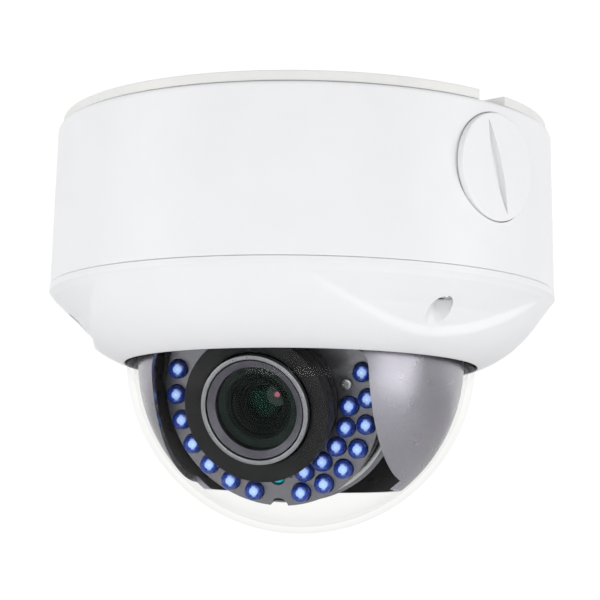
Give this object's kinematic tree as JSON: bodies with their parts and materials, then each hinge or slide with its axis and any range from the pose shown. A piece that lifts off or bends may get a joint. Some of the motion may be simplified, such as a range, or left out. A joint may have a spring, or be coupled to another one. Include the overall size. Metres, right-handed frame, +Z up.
{
  "type": "dome security camera",
  "caption": "Ceiling dome camera with a clear dome, slotted side conduit plug and an infrared lens module on a pan, tilt and rotate gimbal.",
  "frame": {"origin": "centre of the mounting plate's ceiling face", "axes": "+Z up into the ceiling, the dome hangs towards -Z, the lens looks towards -Y with a little turn to -X, +X to the right of someone facing the lens"},
  "size_m": [0.14, 0.14, 0.1127],
  "materials": {
    "white_paint": "fine satin powder coat",
    "plate_steel": "pale zinc",
    "steel": "satin",
    "rubber": "matt",
    "circuit_board": "solder mask",
    "terminal": "moulded",
    "black_plastic": "fine matt",
    "black_metal": "black anodised",
    "collar_plastic": "fine grained matt",
    "clear_dome": "clear polished",
    "liner_plastic": "satin metallic grey",
    "satin_metal": "satin metallic grey",
    "ring_metal": "satin",
    "lens_glass": "coated",
    "sensor_window": "clear tinted",
    "led_epoxy": "clear blue epoxy"
  },
  "bodies": {
    "base": {"mounting_plate": "plate_steel", "base_housing": "white_paint", "cover_seal": "rubber", "cable_gland": "rubber", "main_board": "circuit_board", "board_terminal": "terminal", "gimbal_base": "black_plastic"},
    "plug": {"conduit_plug": "white_paint", "plug_seal_ring": "rubber"},
    "cover": {"front_cover": "white_paint", "clear_dome": "clear_dome", "dome_gasket": "rubber", "dome_retainer": "steel", "cover_screw_1": "steel", "cover_screw_2": "steel", "cover_screw_3": "steel"},
    "pan": {"pan_ring": "black_plastic", "yoke_arm_right": "steel", "yoke_arm_left": "steel", "liner": "liner_plastic"},
    "tilt": {"tilt_ring": "satin_metal", "tilt_pivot_right": "steel", "tilt_pivot_left": "steel"},
    "module": {"module_housing": "black_plastic", "rotation_ring": "steel", "sensor_board": "circuit_board", "lens_barrel": "black_metal", "front_glass": "lens_glass", "lens_ring": "ring_metal", "lens_collar": "collar_plastic", "led_board": "circuit_board", "front_plate": "satin_metal", "light_sensor": "sensor_window", "plate_screw": "steel", "led_01": "led_epoxy", "led_02": "led_epoxy", "led_03": "led_epoxy", "led_04": "led_epoxy", "led_05": "led_epoxy", "led_06": "led_epoxy", "led_07": "led_epoxy", "led_08": "led_epoxy", "led_09": "led_epoxy", "led_10": "led_epoxy", "led_11": "led_epoxy", "led_12": "led_epoxy", "led_13": "led_epoxy", "led_14": "led_epoxy", "led_15": "led_epoxy", "led_16": "led_epoxy", "led_17": "led_epoxy", "led_18": "led_epoxy", "led_19": "led_epoxy", "led_20": "led_epoxy", "led_21": "led_epoxy", "led_22": "led_epoxy", "led_23": "led_epoxy", "led_24": "led_epoxy"},
    "zoom": {"zoom_ring": "black_plastic"},
    "focus": {"focus_ring": "black_plastic"}
  },
  "joints": [
    {"name": "plug_unscrew", "type": "slide", "parent": "base", "child": "plug", "axis": [0.7108, -0.7034, 0], "range_m": [0, 0.022]},
    {"name": "cover_release", "type": "slide", "parent": "base", "child": "cover", "axis": [0, 0, -1], "range_m": [0, 0.08]},
    {"name": "pan_turn", "type": "hinge", "parent": "base", "child": "pan", "pos_m": [0, 0, 0], "axis": [0, 0, 1], "range_deg": [-177.5, 177.5]},
    {"name": "tilt_turn", "type": "hinge", "parent": "pan", "child": "tilt", "pos_m": [0, 0, -0.069], "axis": [0.9397, -0.342, 0], "range_deg": [-20, 70]},
    {"name": "lens_rotation", "type": "hinge", "parent": "tilt", "child": "module", "pos_m": [0, 0, -0.069], "axis": [-0.3214, -0.883, -0.342], "range_deg": [-177.5, 177.5]},
    {"name": "zoom_turn", "type": "hinge", "parent": "module", "child": "zoom", "pos_m": [0, 0, -0.069], "axis": [-0.3214, -0.883, -0.342], "range_deg": [-45, 45]},
    {"name": "focus_turn", "type": "hinge", "parent": "module", "child": "focus", "pos_m": [0, 0, -0.069], "axis": [-0.3214, -0.883, -0.342], "range_deg": [-45, 45]}
  ]
}
